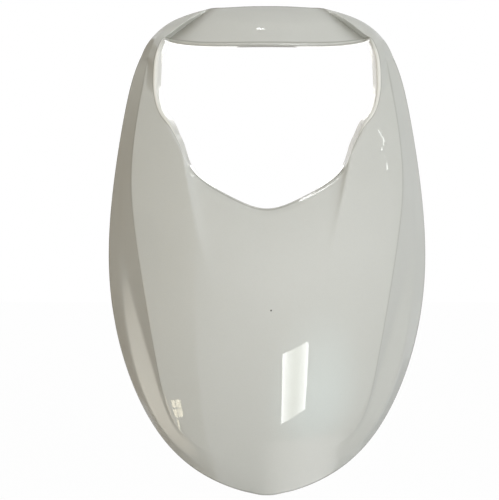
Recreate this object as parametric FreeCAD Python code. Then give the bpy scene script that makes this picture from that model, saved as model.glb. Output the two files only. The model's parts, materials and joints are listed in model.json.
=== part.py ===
"""Headlight surround of a scooter: one moulded shell with an opening for the lamp.

The shell is drawn as a net round the lamp opening. Three closed outlines carry it: the lip of the
opening, the crease where the face turns into the sides, and the free edge. Spokes join them, and
each spoke is a section of the wall from the flange inside the opening out to the edge.

While it is drawn, X runs across, Y runs back from the foremost point and Z runs up from the lower
tip. At the end the shell is moved so that the origin is the middle of the four screw bosses.
"""
import FreeCAD, Part
import math
import os

Vec = FreeCAD.Vector
BACK = Vec(0, 1, 0)

# Heights of the panel, from the lower tip upwards (mm)
CHIN_HEIGHT = 34.0
TONGUE_HEIGHT = 264.0
OPENING_HEIGHT = 176.0
BROW_HEIGHT = 43.0

# Breadths at their widest (mm)
OPENING_WIDTH = 240.0
CHEEK_BREADTH = 21.0
SIDE_BREADTH = 30.0

# Depth of the face (mm)
NOSE_HEIGHT = 185.0
CHIN_RADIUS = 372.0
FACE_RADIUS = 747.0
NOSE_BLEND = 120.0
CROWN_RADIUS = 300.0
SIDE_DROP = 40.0

# Wall and flange (mm)
WALL = 2.6
FLANGE_DEPTH = 14.0

# Relief of the face (mm): the sunken tongue, the rim of the pillars and the ends of the brow
TONGUE_DEPTH = 8.0
RIM_REACH = 18.0
RIM_END_REACH = 6.0
RIM_SLOPE = 0.55
RIM_BLEND = 5.0
BROW_DIVE = 8.0
BROW_BEND = 2.5

# Screw bosses on the back (mm)
BOSS_SPACING = 204.0
BOSS_RISE = 190.0
BOSS_FOOT = 145.0
BOSS_SEAT = 60.0
BOSS_DIAMETER = 10.0
SCREW_HOLE = 4.4
SCREW_DEPTH = 15.0
GUSSET_LENGTH = 9.0
GUSSET_WALL = 2.0

# Spokes of one half, from the lower tip round to the middle of the brow. A height is a level: 0 tip,
# 1 top of the chin, 2 foot of the opening, 3 top of the opening, 4 top edge. A breadth is a share.
LIP = [(0.0, 2.0), (0.305, 2.068), (0.6, 2.199), (0.725, 2.341), (0.792, 2.435), (0.85, 2.5),
       (0.904, 2.545), (0.95, 2.597), (0.983, 2.67), (0.998, 2.767), (0.989, 2.898), (0.963, 2.972),
       (0.922, 3.1), (0.865, 3.2), (0.7, 3.075), (0.383, 3.005), (0.0, 3.0)]
CREASE = [(0.0, 1.0), (0.05, 1.001), (0.099, 1.004), (0.177, 1.011), (0.426, 1.057), (0.681, 1.174),
          (0.816, 1.439), (0.954, 1.864), (1.0, 2.295), (0.922, 2.795), (0.89, 2.932), (0.858, 3.035),
          (0.794, 3.279), (0.624, 3.5), (0.482, 3.512), (0.255, 3.488), (0.0, 3.488)]
EDGE = [(0.0, 0.0), (0.047, 0.015), (0.099, 0.074), (0.181, 0.176), (0.386, 0.618), (0.655, 1.098),
        (0.889, 1.39), (0.994, 1.78), (0.947, 2.295), (0.86, 2.739), (0.795, 2.932), (0.737, 3.163),
        (0.585, 3.651), (0.368, 3.919), (0.281, 3.96), (0.146, 3.991), (0.0, 4.0)]

# At each spoke: share of the side drop, softness of the crease, share of the ledge in the lower sides,
# share of the flange depth, and draft of the flange in degrees
DROP = [0.1, 0.1, 0.1, 0.12, 0.2, 0.55, 0.95, 1.0, 0.68, 0.27, 0.16, 0.13, 0.12, 0.12, 0.16, 0.2, 0.2]
SOFT = [1.0, 1.0, 1.0, 1.0, 0.6, 0.15, 0.0, 0.0, 0.0, 0.0, 0.1, 0.4, 0.8, 1.0, 1.0, 1.0, 1.0]
LEDGE = [0.0, 0.0, 0.0, 0.0, 0.25, 0.85, 1.0, 0.15, 0.0, 0.0, 0.0, 0.0, 0.0, 0.0, 0.0, 0.0, 0.0]
FLANGE = [0.6, 0.65, 0.85, 1.0, 1.0, 1.0, 1.0, 1.0, 1.0, 1.0, 1.0, 0.9, 0.75, 0.6, 0.5, 0.45, 0.45]
DRAFT = [3.0, 3.0, 3.0, 4.0, 6.0, 8.0, 10.0, 12.0, 12.0, 12.0, 12.0, 10.0, 8.0, 5.0, 3.0, 3.0, 3.0]

# Spokes that carry a feature, counted from the tip, and the rounding of its turns as a share
TONGUE_SPOKES = (2.0, 3.0)
TONGUE_BLEND_SHARE = 0.6
RIM_SPOKES = (6.9, 9.0)
RIM_FADE_SPOKE = 11.0
GROOVE_SPOKES = (12.0, 13.4)
GROOVE_BLEND_SHARE = 0.5
BROW_SPOKES = (14.2, 15.5)

# Places across the side, as shares of its breadth, and of its drop: plain side, then with the ledge
PLAIN_LINES = (0.42, 0.62)
LEDGE_LINES = (0.22, 0.68)
LEDGE_DROPS = (0.33, 0.4)
TONGUE_FADE = 0.45

# Fineness of the net: rows across the face and across each other strip, columns between the spokes
# where a feature turns, and the spokes where one face ends and the next begins. The probes are parts of
# a spoke: one for the skin's slope, and a wider one that eases the flange round the opening's corners
FACE_ROWS = 8
STRIP_ROWS = 2
EXTRA_COLUMNS = (2.25, 2.5, 2.75, 4.5, 5.5, 6.5, 7.5, 8.5, 11.5, 12.5, 13.5)
SECTOR_SPOKES = (0.0, 2.0, 3.0, 5.0, 7.0, 9.0, 11.0, 13.0, 14.0, 16.0)
SOLVER_PASSES = 60
PROBE_SHARE = 0.002
TURN_SHARE = 0.5

LAST = len(LIP) - 1
FACE_WIDTH = OPENING_WIDTH + 2 * CHEEK_BREADTH
PANEL_WIDTH = FACE_WIDTH + 2 * SIDE_BREADTH
LEVELS = [0.0]
for step in (CHIN_HEIGHT, TONGUE_HEIGHT, OPENING_HEIGHT, BROW_HEIGHT):
    LEVELS.append(LEVELS[-1] + step)


def height(level):
    """Height above the tip of a level of the panel."""
    floor = min(int(level), len(LEVELS) - 2)
    return LEVELS[floor] + (level - floor) * (LEVELS[floor + 1] - LEVELS[floor])


def outline(shares, width):
    """Spoke points (x, z) of one outline, in mm."""
    return [(0.5 * width * share, height(level)) for share, level in shares]


def at_spoke(values, index):
    """Value at any whole spoke, mirrored past the two ends of the half."""
    if index < 0:
        return values[-index], -1.0
    if index > LAST:
        return values[2 * LAST - index], -1.0
    return values[index], 1.0


def smooth_slopes(values, odd):
    """Slopes of the smooth closed curve through the values, one per spoke."""
    slopes = [0.0] * (LAST + 1)

    def take(series, index, sign):
        value, side = at_spoke(series, index)
        return value * (side if sign else 1.0)

    for _ in range(SOLVER_PASSES):
        for k in range(LAST + 1):
            reach = take(values, k + 1, odd) - take(values, k - 1, odd)
            around = take(slopes, k + 1, not odd) + take(slopes, k - 1, not odd)
            slopes[k] = (3.0 * reach - around) / 4.0
    return slopes


class Rule:
    """A number that runs smoothly from spoke to spoke, even or odd about the middle plane."""

    def __init__(self, values, odd=False):
        self.values = values
        self.slopes = smooth_slopes(values, odd)
        self.odd = odd

    def __call__(self, u):
        side = -1.0 if self.odd and not 0 <= u <= LAST else 1.0
        place = LAST - abs(LAST - abs(u))
        k = min(LAST - 1, int(place))
        t = place - k
        a, b = self.values[k], self.values[k + 1]
        p, q = self.slopes[k], self.slopes[k + 1]
        cubic = 2 * t ** 3 - 3 * t ** 2
        value = a * (1 + cubic) - b * cubic + p * (t ** 3 - 2 * t ** 2 + t) + q * (t ** 3 - t ** 2)
        return side * value


class Loop:
    """A closed outline: x is odd about the middle plane, z is even."""

    def __init__(self, shares, width):
        points = outline(shares, width)
        self.x = Rule([p[0] for p in points], odd=True)
        self.z = Rule([p[1] for p in points])

    def __call__(self, u):
        return self.x(u), self.z(u)


def ramp(t, blend):
    """Zero before 0 and t after it, with a rounded corner of the given breadth."""
    if t <= -blend / 2:
        return 0.0
    if t >= blend / 2:
        return t
    return (t + blend / 2) ** 2 / (2 * blend)


def bow(t, blend):
    """Area under the ramp: straight before 0 and a parabola after it."""
    if t <= -blend / 2:
        return 0.0
    if t >= blend / 2:
        return t * t / 2 + blend * blend / 24
    return (t + blend / 2) ** 3 / (6 * blend)


def bent_line(t, nodes, blend):
    """A line through the nodes (place, value), rounded at each of them, level before the first."""
    value, slope = nodes[0][1], 0.0
    for k in range(len(nodes)):
        following = 0.0
        if k + 1 < len(nodes):
            following = (nodes[k + 1][1] - nodes[k][1]) / (nodes[k + 1][0] - nodes[k][0])
        value += (following - slope) * ramp(t - nodes[k][0], blend)
        slope = following
    return value


lip = Loop(LIP, OPENING_WIDTH)
crease = Loop(CREASE, FACE_WIDTH)
edge = Loop(EDGE, PANEL_WIDTH)
drop_share = Rule(DROP)
soft_share = Rule(SOFT)
ledge_share = Rule(LEDGE)
flange_share = Rule(FLANGE)
draft_angle = Rule(DRAFT)


def face_depth(x, z):
    """Depth of the plain crowned face behind the foremost point."""
    upper = (z - NOSE_HEIGHT) ** 2 / (2 * FACE_RADIUS)
    chin = (1 / CHIN_RADIUS - 1 / FACE_RADIUS) * bow(NOSE_HEIGHT - z, NOSE_BLEND)
    return upper + chin + x * x / (2 * CROWN_RADIUS)


def tongue_relief(u, share):
    """The tongue under the lamp lies deeper than the cheeks and runs out downwards."""
    inner, outer = TONGUE_SPOKES
    sunk = bent_line(u, [(inner, 1.0), (outer, 0.0)], TONGUE_BLEND_SHARE * (outer - inner))
    fade = max(0.0, 1 - share / TONGUE_FADE)
    return TONGUE_DEPTH * sunk * fade * fade


def pillar_relief(u, run, length):
    """The rim of the pillars stands proud, and the ends of the brow dive behind it."""
    foot, apex = RIM_SPOKES
    crest, groove = GROOVE_SPOKES
    width = GROOVE_BLEND_SHARE * (groove - crest)
    tops = [(foot, 0.0), (apex, RIM_REACH), (RIM_FADE_SPOKE, RIM_REACH), (groove, RIM_END_REACH)]
    reach = bent_line(u, tops, width)
    standing = bent_line(u, [(crest, 1.0), (groove, 0.0)], width)
    bend, level = BROW_SPOKES
    dive = bent_line(u, [(crest, 0.0), (groove, BROW_DIVE), (bend, BROW_BEND), (level, 0.0)], width)
    rise = RIM_SLOPE * standing * ramp(reach - run, RIM_BLEND)
    return dive * (1 - run / length) - rise


def side_lines(u):
    """Where the side bends at a spoke: places outside the crease, and the share of the drop at each."""
    breadth = math.dist(crease(u), edge(u))
    ledge = ledge_share(u)
    lines = [(0.0, 0.0)]
    for plain, ledged, drop in zip(PLAIN_LINES, LEDGE_LINES, LEDGE_DROPS):
        lines.append((breadth * (plain + (ledged - plain) * ledge), plain + (drop - plain) * ledge))
    lines.append((breadth, 1.0))
    return lines


def side_drop(u, run, lines):
    """Extra depth of the side between its bends: straight on the flanks, a curve at chin and brow."""
    breadth = lines[-1][0]
    for (start, low), (end, high) in zip(lines, lines[1:]):
        if run <= end:
            straight = low + (high - low) * (run - start) / (end - start)
            break
    soft = soft_share(u)
    return SIDE_DROP * drop_share(u) * (straight * (1 - soft) + (run / breadth) ** 2 * soft)


def face_point(u, share):
    """Point of the outer skin between the lip (share 0) and the crease (share 1)."""
    inner, outer, free = lip(u), crease(u), edge(u)
    x = inner[0] + (outer[0] - inner[0]) * share
    z = inner[1] + (outer[1] - inner[1]) * share
    length = math.dist(inner, outer)
    total = length + math.dist(outer, free)
    depth = face_depth(x, z) + tongue_relief(u, share) + pillar_relief(u, share * length, total)
    return Vec(x, depth, z)


def side_point(u, run, lines):
    """Point of the outer skin at a distance outside the crease."""
    inner, outer, free = lip(u), crease(u), edge(u)
    breadth = lines[-1][0]
    x = outer[0] + (free[0] - outer[0]) * run / breadth
    z = outer[1] + (free[1] - outer[1]) * run / breadth
    length = math.dist(inner, outer)
    depth = face_depth(x, z) + side_drop(u, run, lines)
    depth += pillar_relief(u, length + run, length + breadth)
    return Vec(x, depth, z)


def skin_strips(u):
    """The outer skin's section at a spoke: the face, then each strip of the side."""
    strips = [[face_point(u, k / FACE_ROWS) for k in range(FACE_ROWS + 1)]]
    lines = side_lines(u)
    for (start, _), (end, _) in zip(lines, lines[1:]):
        runs = [start + (end - start) * k / STRIP_ROWS for k in range(STRIP_ROWS)] + [end]
        strips.append([side_point(u, run, lines) for run in runs])
    return strips


def unit(vector):
    return vector * (1 / vector.Length)


def lip_rows(u, corner):
    """The bevel of the lip, from the skin to the flange, and the two corners of the flange's end."""
    before, after = lip(u - TURN_SHARE), lip(u + TURN_SHARE)
    inward = unit(Vec(before[1] - after[1], 0, after[0] - before[0]))
    draft = math.radians(draft_angle(u))
    flange = BACK * math.cos(draft) + inward * math.sin(draft)
    across = inward * math.cos(draft) - BACK * math.sin(draft)
    bevel = [face_point(u, 0.0), corner + across * WALL]
    reach = flange * FLANGE_DEPTH * flange_share(u)
    return bevel, (bevel[1] + reach, corner + reach)


def spline(points, places, ends=None):
    """Smooth curve through the points at the given parameters."""
    curve = Part.BSplineCurve()
    if ends is None:
        curve.interpolate(Points=points, Parameters=places)
    else:
        curve.interpolate(Points=points, Parameters=places, InitialTangent=ends[0],
                          FinalTangent=ends[1], Scale=False)
    return curve


def net_faces(net, columns):
    """Faces through a net of points given as columns of rows, one for each sector of spokes."""
    rows = len(net[0])
    places = [float(k) for k in range(rows)]
    step = columns[1] - columns[0]
    along = []
    for j in range(rows):
        points = [Vec(column[j]) for column in net]
        points[0].x = 0.0
        points[-1].x = 0.0
        first = Vec((points[1].x - points[0].x) / step, 0, 0)
        last = Vec((points[-1].x - points[-2].x) / step, 0, 0)
        along.append(spline(points, columns, (first, last)))
    poles = []
    for k in range(along[0].NbPoles):
        points = [curve.getPole(k + 1) for curve in along]
        if rows > STRIP_ROWS + 1:
            cross = spline(points, places)
        else:
            bezier = Part.BezierCurve()
            bezier.interpolate([[point] for point in points])
            cross = bezier.toBSpline()
        poles.append(cross.getPoles())
    surface = Part.BSplineSurface()
    surface.buildFromPolesMultsKnots(poles, along[0].getMultiplicities(), cross.getMultiplicities(),
                                     along[0].getKnots(), cross.getKnots(), False, False,
                                     along[0].Degree, cross.Degree)
    faces = []
    for start, end in zip(SECTOR_SPOKES, SECTOR_SPOKES[1:]):
        sector = surface.copy()
        low, high = sector.bounds()[2:]
        sector.segment(start, end, low, high)
        faces.append(sector.toShape())
    return faces


def strip_normals(strip, before, after):
    """Directions square to a strip at one spoke, from its front to its back."""
    ahead = [strip[1] * 4 - strip[0] * 3 - strip[2]]
    ahead += [high - low for low, high in zip(strip, strip[2:])]
    ahead.append(strip[-1] * 3 - strip[-2] * 4 + strip[-3])
    normals = []
    for outward, left, right in zip(ahead, before, after):
        through = unit((right - left).cross(outward))
        normals.append(through if through.y > 0 else through * -1)
    return normals


def inner_strips(u):
    """The section at a spoke moved through the wall, mitred where two strips meet."""
    strips = skin_strips(u)
    beside = zip(strips, skin_strips(u - PROBE_SHARE), skin_strips(u + PROBE_SHARE))
    normals = [strip_normals(*three) for three in beside]
    for first, second in zip(normals, normals[1:]):
        mitre = (first[-1] + second[0]) * (1 / (1 + first[-1].dot(second[0])))
        first[-1] = mitre
        second[0] = mitre
    return [[point + way * WALL for point, way in zip(strip, ways)]
            for strip, ways in zip(strips, normals)]


def half_shell():
    """Faces of the right half of the shell."""
    columns = sorted([float(k) for k in range(LAST + 1)] + list(EXTRA_COLUMNS))
    strips = [list(net) for net in zip(*[skin_strips(u) for u in columns])]
    inside = [list(net) for net in zip(*[inner_strips(u) for u in columns])]
    corners = [column[0] for column in inside[0]]
    bevels, ends = zip(*[lip_rows(u, corner) for u, corner in zip(columns, corners)])
    nets = strips + inside
    nets.append(bevels)
    nets.append([[bevel[1], end[0]] for bevel, end in zip(bevels, ends)])
    nets.append([[corner, end[1]] for corner, end in zip(corners, ends)])
    nets.append(ends)
    nets.append([[outer[-1], inner[-1]] for outer, inner in zip(strips[-1], inside[-1])])
    return [face for net in nets for face in net_faces(net, columns)]


def shell():
    """The whole shell as one solid."""
    right = half_shell()
    left = [face.mirror(Vec(0, 0, 0), Vec(1, 0, 0)) for face in right]
    skin = Part.makeCompound(right + left)
    skin.sewShape()
    solid = Part.makeSolid(skin.Shells[0])
    if solid.Volume < 0:
        solid.reverse()
    return solid


def boss(x, z):
    """A screw boss with its two gussets, long enough to pass through the wall."""
    post = Part.makeCylinder(BOSS_DIAMETER / 2, BOSS_SEAT, Vec(x, 0, z), BACK)
    reach = BOSS_DIAMETER / 2 + GUSSET_LENGTH
    half = GUSSET_WALL / 2
    corners = [Vec(x - half, 0, z - reach), Vec(x - half, 0, z + reach),
               Vec(x - half, BOSS_SEAT - GUSSET_WALL, z + half),
               Vec(x - half, BOSS_SEAT - GUSSET_WALL, z - half)]
    web = Part.Face(Part.makePolygon(corners + corners[:1])).extrude(Vec(GUSSET_WALL, 0, 0))
    return post.fuse(web)


def screw_hole(x, z):
    """Blind hole of a boss, open at its seat."""
    return Part.makeCylinder(SCREW_HOLE / 2, SCREW_DEPTH, Vec(x, BOSS_SEAT - SCREW_DEPTH, z), BACK)


def headlight_surround():
    """The finished moulding, with its bosses on the back."""
    solid = shell()
    places = [(side * BOSS_SPACING / 2, BOSS_FOOT + rise) for side in (-1, 1) for rise in (0, BOSS_RISE)]
    posts = []
    for x, z in places:
        pieces = boss(x, z).cut(solid).Solids
        posts.append(max(pieces, key=lambda piece: piece.BoundBox.YMax))
    solid = solid.fuse(posts)
    solid = solid.cut(Part.makeCompound([screw_hole(x, z) for x, z in places]))
    solid.translate(Vec(0, -BOSS_SEAT, -BOSS_FOOT - BOSS_RISE / 2))
    return solid


os.makedirs("parts", exist_ok=True)
panel = headlight_surround()
print("solids", len(panel.Solids), "valid", panel.isValid(), "volume", round(panel.Volume))
print("box", panel.BoundBox)
panel.exportStep("parts/headlight_surround.step")
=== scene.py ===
# %% [markdown]
# # Headlight surround of a scooter
#
# The object is one moulded panel: a shield with an opening for the headlight near its top, a thin brow
# over the opening and a flange that turns back round it. It is painted pearl white under clear coat,
# and its back is bare plastic with four screw posts.
#
# The lesson draws the panel as a net of spokes round the opening, closes the net into one wall, adds
# the posts, paints it and lights it as the photograph shows it.

# %% Load the frame
import bpy
import bmesh
import json
import math
import numpy as np
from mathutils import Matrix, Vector
from mathutils.bvhtree import BVHTree
from mathutils.interpolate import poly_3d_calc


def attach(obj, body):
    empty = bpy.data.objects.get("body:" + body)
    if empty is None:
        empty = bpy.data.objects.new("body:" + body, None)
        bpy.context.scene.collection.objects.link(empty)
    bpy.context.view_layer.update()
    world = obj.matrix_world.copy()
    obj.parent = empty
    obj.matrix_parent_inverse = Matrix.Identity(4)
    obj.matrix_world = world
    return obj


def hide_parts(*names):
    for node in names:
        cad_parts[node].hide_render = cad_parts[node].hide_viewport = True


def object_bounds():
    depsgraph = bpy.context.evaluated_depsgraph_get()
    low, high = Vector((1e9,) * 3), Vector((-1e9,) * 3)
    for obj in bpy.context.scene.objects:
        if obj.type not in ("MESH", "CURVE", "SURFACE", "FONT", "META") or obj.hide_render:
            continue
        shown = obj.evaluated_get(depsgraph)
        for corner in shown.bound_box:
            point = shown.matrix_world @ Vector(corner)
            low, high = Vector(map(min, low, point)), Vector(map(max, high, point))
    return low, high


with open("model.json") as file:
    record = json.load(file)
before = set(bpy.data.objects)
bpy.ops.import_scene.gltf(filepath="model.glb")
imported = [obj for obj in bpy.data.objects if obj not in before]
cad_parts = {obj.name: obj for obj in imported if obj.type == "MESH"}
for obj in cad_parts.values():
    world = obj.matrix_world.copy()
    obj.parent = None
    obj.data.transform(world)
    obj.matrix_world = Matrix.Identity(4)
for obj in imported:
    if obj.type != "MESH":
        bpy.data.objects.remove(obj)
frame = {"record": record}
cad_low, cad_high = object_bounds()
record = frame["record"]
pattern = next(m for m in record["mounts"] if m["kind"] == "bolt_pattern")
print("frame box", [round(c, 4) for c in (*cad_low, *cad_high)])

# %% [markdown]
# ## The sizes
#
# The panel is drawn in millimetres with its lower tip at the bottom of the Z axis and its foremost
# point at the front of the Y axis, because a panel is measured from its tip and its nose. The origin
# of the frame is the middle of the screw posts on their seats, so one shift moves the drawing there.

# %% Sizes of the panel
MM = 0.001
CHIN_HEIGHT, TONGUE_HEIGHT, OPENING_HEIGHT, BROW_HEIGHT = 34.0, 264.0, 176.0, 43.0
OPENING_WIDTH, CHEEK_BREADTH, SIDE_BREADTH = 240.0, 21.0, 30.0
NOSE_HEIGHT, CHIN_RADIUS, FACE_RADIUS, NOSE_BLEND = 185.0, 372.0, 747.0, 120.0
CROWN_RADIUS, SIDE_DROP = 300.0, 40.0
WALL, FLANGE_DEPTH = 2.6, 14.0
TONGUE_DEPTH, TONGUE_FADE = 8.0, 0.45
RIM_REACH, RIM_END_REACH, RIM_SLOPE, RIM_BLEND = 18.0, 6.0, 0.55, 3.0
ROLL_REACH, ROLL_SLOPE = 7.0, 0.6
BROW_DIVE, BROW_BEND, LIP_DIVE = 15.0, 3.0, 0.5
POST_SEAT, POST_FOOT = 60.0, 145.0
POST_DIAMETER, SCREW_DEPTH, GUSSET_LENGTH, GUSSET_WALL = 10.0, 15.0, 9.0, 2.0
POST_SPACING = pattern["dims"]["spacing_x_mm"]
POST_RISE = pattern["dims"]["spacing_y_mm"]
SCREW_HOLE = 2 * pattern["dims"]["hole_r_mm"]
FACE_WIDTH = OPENING_WIDTH + 2 * CHEEK_BREADTH
PANEL_WIDTH = FACE_WIDTH + 2 * SIDE_BREADTH
LEVELS = np.cumsum([0.0, CHIN_HEIGHT, TONGUE_HEIGHT, OPENING_HEIGHT, BROW_HEIGHT])
ORIGIN = np.array([0.0, POST_SEAT, POST_FOOT + POST_RISE / 2])
print("panel", PANEL_WIDTH, "mm wide and", LEVELS[-1], "mm high")

# %% [markdown]
# ## The spokes
#
# Three closed outlines carry the whole form: the lip of the opening, the crease where the face turns
# into the sides, and the free edge. Each is given by the same seventeen spokes on one half, so that a
# spoke is a section of the wall. A breadth is a share of the outline's half width, and a height counts
# levels: 0 tip, 1 top of the chin, 2 foot of the opening, 3 its top, 4 top edge.
#
# The other tables are shares for the same spokes: how far the side drops, how soft its turn is, where the
# ledge lies and how high its step is, how deep the flange is, and its draft in degrees.
#
# A spline with even curvature runs through the spokes. It could be a Blender curve, but then the three
# outlines wouldn't share their spokes. So it is solved as one small set of equations, and the mirror
# image supplies the missing neighbours at the middle plane, so the two halves meet smoothly.

# %% Outlines and rules round the opening
LIP = [(0.0, 2.0), (0.305, 2.068), (0.6, 2.199), (0.725, 2.341), (0.792, 2.435), (0.85, 2.5),
       (0.904, 2.545), (0.95, 2.597), (0.983, 2.67), (0.998, 2.767), (0.989, 2.898), (0.963, 2.972),
       (0.935, 3.1), (0.88, 3.185), (0.7, 3.07), (0.383, 3.003), (0.0, 3.0)]
CREASE = [(0.0, 1.0), (0.05, 1.001), (0.099, 1.004), (0.177, 1.011), (0.426, 1.057), (0.681, 1.174),
          (0.816, 1.439), (0.954, 1.864), (1.0, 2.295), (0.922, 2.795), (0.89, 2.932), (0.858, 3.035),
          (0.794, 3.279), (0.624, 3.5), (0.482, 3.512), (0.255, 3.488), (0.0, 3.488)]
EDGE = [(0.0, 0.0), (0.047, 0.015), (0.099, 0.074), (0.181, 0.176), (0.386, 0.618), (0.655, 1.098),
        (0.889, 1.39), (0.994, 1.78), (0.947, 2.295), (0.86, 2.739), (0.795, 2.932), (0.737, 3.163),
        (0.585, 3.651), (0.368, 3.919), (0.281, 3.96), (0.146, 3.991), (0.0, 4.0)]
DROP = [0.1, 0.1, 0.1, 0.12, 0.2, 0.55, 0.95, 1.0, 0.68, 0.27, 0.16, 0.13, 0.12, 0.12, 0.16, 0.2, 0.2]
SOFT = [1.0, 1.0, 1.0, 1.0, 0.9, 0.15, 0.0, 0.0, 0.0, 0.0, 0.1, 0.4, 0.8, 1.0, 1.0, 1.0, 1.0]
LEDGE = [0.0, 0.0, 0.0, 0.0, 0.25, 0.85, 1.0, 0.07, 0.0, 0.0, 0.0, 0.0, 0.0, 0.0, 0.0, 0.0, 0.0]
STEP = [0.1, 0.1, 0.1, 0.1, 0.1, 0.3, 0.85, 1.2, 1.0, 1.0, 1.0, 1.0, 1.0, 1.0, 1.0, 1.0, 1.0]
FLANGE = [0.6, 0.65, 0.85, 1.0, 1.0, 1.0, 1.0, 1.0, 1.0, 1.0, 1.0, 0.9, 0.75, 0.6, 0.5, 0.45, 0.45]
DRAFT = [3.0, 3.0, 5.0, 14.0, 17.0, 17.0, 14.0, 12.0, 12.0, 12.0, 12.0, 10.0, 8.0, 5.0, 3.0, 3.0, 3.0]
LAST = len(LIP) - 1


class Rule:
    """A number that runs smoothly from spoke to spoke, even or odd about the middle plane."""

    def __init__(self, values, odd=False):
        self.values = np.array(values, float)
        self.odd = odd
        mirror = -1.0 if odd else 1.0
        before = np.concatenate([[mirror * self.values[1]], self.values[:-1]])
        after = np.concatenate([self.values[1:], [mirror * self.values[-2]]])
        system = 4 * np.eye(LAST + 1) + np.eye(LAST + 1, k=1) + np.eye(LAST + 1, k=-1)
        system[0, 1] -= mirror
        system[-1, -2] -= mirror
        self.slopes = np.linalg.solve(system, 3 * (after - before))

    def __call__(self, u):
        place = np.abs(u)
        k = np.clip(place.astype(int), 0, LAST - 1)
        t = place - k
        step = 2 * t ** 3 - 3 * t ** 2
        value = self.values[k] * (1 + step) - self.values[k + 1] * step
        value += self.slopes[k] * (t ** 3 - 2 * t ** 2 + t) + self.slopes[k + 1] * (t ** 3 - t ** 2)
        return value * np.sign(u) if self.odd else value


class Outline:
    """A closed outline: x is odd about the middle plane, z is even."""

    def __init__(self, shares, width):
        heights = np.interp([level for _, level in shares], range(len(LEVELS)), LEVELS)
        self.x = Rule([0.5 * width * share for share, _ in shares], odd=True)
        self.z = Rule(heights)

    def __call__(self, u):
        return self.x(u), self.z(u)


lip = Outline(LIP, OPENING_WIDTH)
crease = Outline(CREASE, FACE_WIDTH)
edge = Outline(EDGE, PANEL_WIDTH)
drop_share, soft_share, ledge_share = Rule(DROP), Rule(SOFT), Rule(LEDGE)
flange_share, draft_angle, step_share = Rule(FLANGE), Rule(DRAFT), Rule(STEP)
print("outlines through", LAST + 1, "spokes on each half")

# %% [markdown]
# ## The depth of the face
#
# Seen from the side the panel is bowed: gently above the nose and more tightly below it. Across, it is
# crowned. On top of that come five features that the light picks out: the tongue under the lamp lies
# deeper than the cheeks, the lip rolls over along its foot, the pillars stand proud at the lip, the brow's
# ends dive behind them, and a leaf-shaped ledge runs down each lower side.
#
# A sculptor would push these out of a mesh by hand. Here each is a line bent at a few places, with every
# bend rounded by a parabola, because paint shows any jump of slope as a hard line.

# %% Depth rules
TONGUE_SPOKES, ROLL_SPOKES, RIM_SPOKES, RIM_FADE_SPOKE = (2.0, 3.0), (4.0, 5.5), (8.3, 9.9), 11.0
GROOVE_SPOKES, BROW_SPOKES = (12.8, 13.1), (13.9, 15.5)
PLAIN_LINES, LEDGE_LINES, LEDGE_DROPS = (0.42, 0.62), (0.22, 0.68), (0.33, 0.37)
TONGUE_BLEND, GROOVE_BLEND, ROLL_BLEND = 0.6, 0.5, 0.5
CREASE_BLEND, VALLEY_BLEND = 0.06, 0.13


def ramp(t, blend):
    """Zero before 0 and t after it, with a rounded corner of the given breadth."""
    eased = np.clip(t + blend / 2, 0, blend)
    return eased ** 2 / (2 * blend) + np.maximum(t - blend / 2, 0)


def bow(t, blend):
    """Area under the ramp: level before 0 and a parabola after it."""
    eased = np.clip(t + blend / 2, 0, blend)
    over = np.maximum(t - blend / 2, 0)
    return eased ** 3 / (6 * blend) + over * (over + blend) / 2


def bent_line(t, nodes, blend):
    """A line through the nodes (place, value), rounded at each of them, level before the first."""
    value, slope = nodes[0][1], 0.0
    for k in range(len(nodes)):
        following = 0.0
        if k + 1 < len(nodes):
            following = (nodes[k + 1][1] - nodes[k][1]) / (nodes[k + 1][0] - nodes[k][0])
        value = value + (following - slope) * ramp(t - nodes[k][0], blend)
        slope = following
    return value


def face_depth(x, z):
    """Depth of the plain crowned face behind the foremost point."""
    upper = (z - NOSE_HEIGHT) ** 2 / (2 * FACE_RADIUS)
    chin = (1 / CHIN_RADIUS - 1 / FACE_RADIUS) * bow(NOSE_HEIGHT - z, NOSE_BLEND)
    return upper + chin + x * x / (2 * CROWN_RADIUS)


def tongue_relief(u, share):
    """The tongue under the lamp lies deeper than the cheeks and runs out downwards."""
    inner, outer = TONGUE_SPOKES
    sunk = bent_line(np.abs(u), [(inner, 1.0), (outer, 0.0)], TONGUE_BLEND * (outer - inner))
    return TONGUE_DEPTH * sunk * np.maximum(0, 1 - share / TONGUE_FADE) ** 2


def lip_roll(u, run):
    """The tongue and the foot of the cheeks roll over towards the opening."""
    inner, outer = ROLL_SPOKES
    rolled = bent_line(np.abs(u), [(inner, 1.0), (outer, 0.0)], ROLL_BLEND)
    return ROLL_SLOPE * rolled * np.maximum(0, ROLL_REACH - run) ** 2 / (2 * ROLL_REACH)


def pillar_relief(u, run, length):
    """The rim of the pillars stands proud, and the ends of the brow dive behind it."""
    foot, apex = RIM_SPOKES
    crest, groove = GROOVE_SPOKES
    width = GROOVE_BLEND * (groove - crest)
    place = np.abs(u)
    tops = [(foot, 0.0), (apex, RIM_REACH), (RIM_FADE_SPOKE, RIM_REACH), (groove, RIM_END_REACH)]
    reach = bent_line(place, tops, width)
    standing = bent_line(place, [(crest, 1.0), (groove, 0.0)], width)
    bend, level = BROW_SPOKES
    dive = bent_line(place, [(crest, 0.0), (groove, BROW_DIVE), (bend, BROW_BEND), (level, 0.0)], width)
    share = run / length
    sunk = dive * (1 - share) * (LIP_DIVE + (2 - LIP_DIVE) * share)
    return sunk - RIM_SLOPE * standing * ramp(reach - run, RIM_BLEND)


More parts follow.
